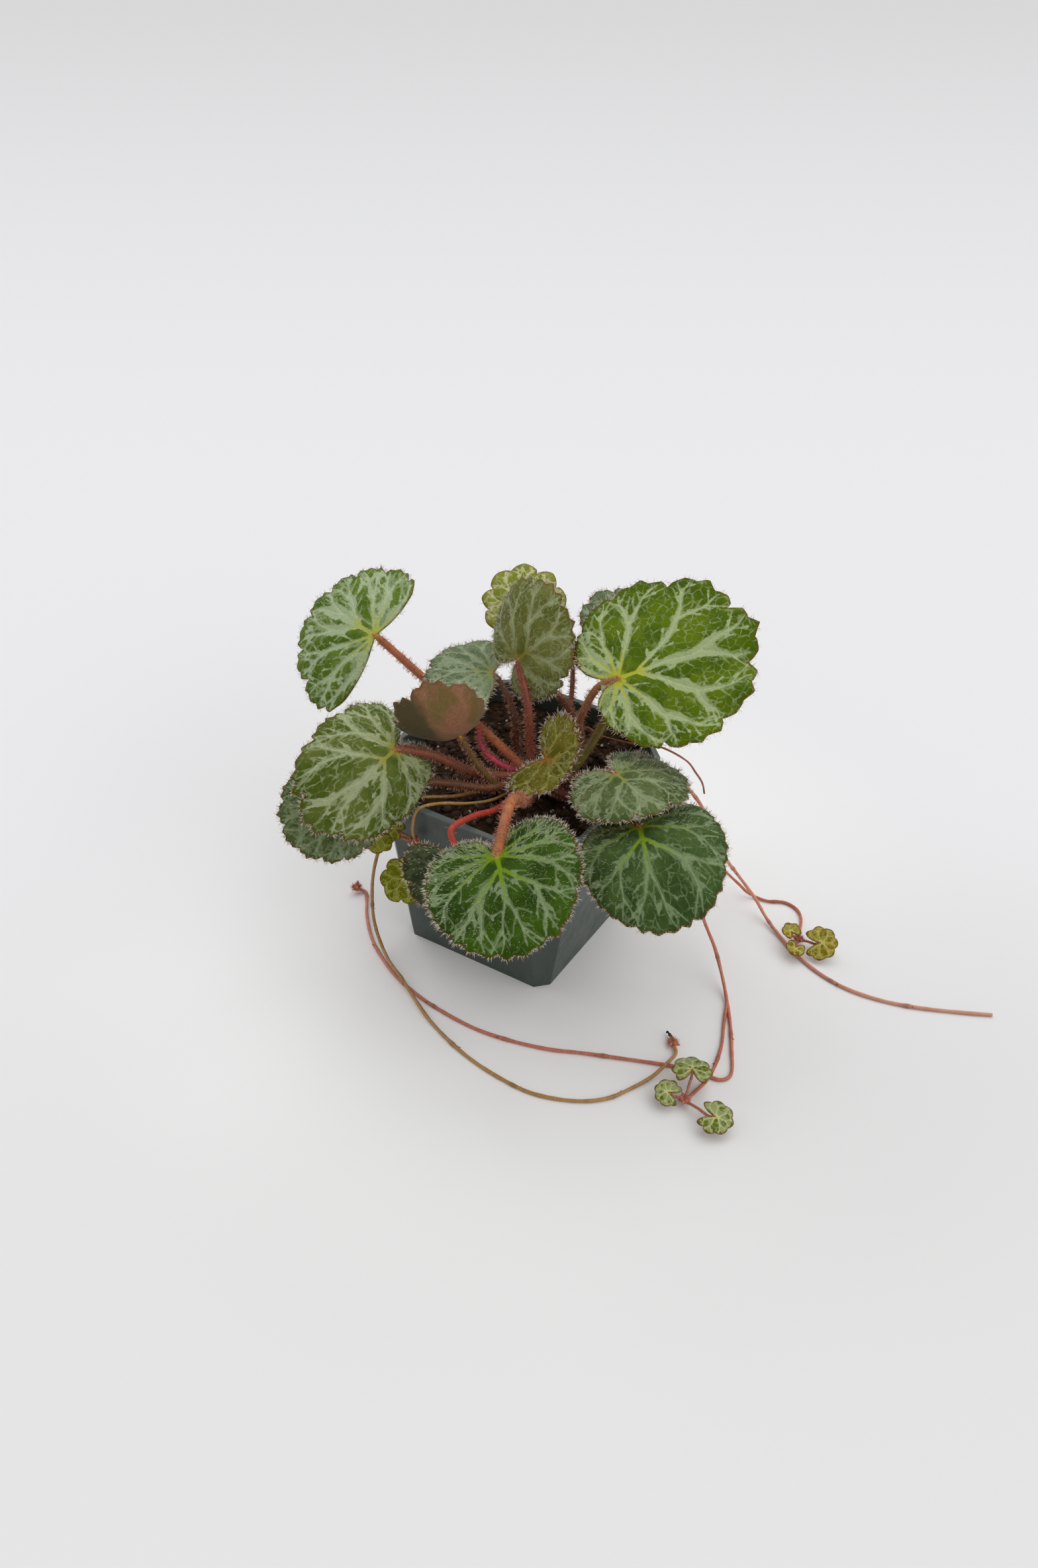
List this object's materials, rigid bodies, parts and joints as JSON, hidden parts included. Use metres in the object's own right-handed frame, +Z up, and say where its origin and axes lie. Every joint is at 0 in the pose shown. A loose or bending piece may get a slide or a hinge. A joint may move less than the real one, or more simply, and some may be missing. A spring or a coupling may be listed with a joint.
{
  "type": "potted strawberry saxifrage",
  "caption": "Rosette of round, silver-veined, hairy leaves in a square tapered nursery pot, with thin red runners and small plantlets trailing over the rim.",
  "frame": {"origin": "centre of the underside of the pot", "axes": "+Z up out of the pot, X and Y along the pot's sides, the front corner of the pot towards +X and -Y"},
  "size_m": [0.2758, 0.1762, 0.1369],
  "materials": {
    "pot": "satin moulded plastic",
    "soil": "loose dark peat with pale grit",
    "stalk": "hairy reddish brown",
    "leaf_fresh": "hairy green leaf with silver veins",
    "leaf_grey": "grey-green leaf with silver veins",
    "leaf_dark": "dark grey-green leaf",
    "leaf_young": "yellow-green young leaf with pale veins",
    "leaf_underside": "mauve-brown speckled leaf underside",
    "runner": "smooth red runner",
    "runner_dry": "dry brown runner"
  },
  "bodies": {
    "root": {"pot": "pot", "soil": "soil", "crown_and_stalks": "stalk", "blade_far_left": "leaf_fresh", "blade_left": "leaf_fresh", "blade_low_left": "leaf_grey", "blade_back_left": "leaf_grey", "blade_centre": "leaf_grey", "blade_back": "leaf_young", "blade_right": "leaf_fresh", "blade_back_right": "leaf_grey", "blade_curled": "leaf_underside", "blade_young_centre": "leaf_young", "blade_right_middle": "leaf_grey", "blade_right_low": "leaf_fresh", "blade_front": "leaf_fresh", "blade_front_low": "leaf_dark", "blade_small_back": "leaf_underside", "plantlet_hanging_blade_1": "leaf_young", "plantlet_hanging_blade_2": "leaf_young", "plantlet_hanging_blade_3": "leaf_young", "plantlet_right_blade_1": "leaf_young", "plantlet_right_blade_2": "leaf_underside", "plantlet_right_blade_3": "leaf_young", "plantlet_front_blade_1": "leaf_young", "plantlet_front_blade_2": "leaf_young", "plantlet_front_blade_3": "leaf_young", "runner_front": "runner", "runner_right": "runner", "runner_back": "runner", "runner_middle": "runner", "runner_hanging": "runner", "runner_dry": "runner_dry"}
  },
  "joints": []
}
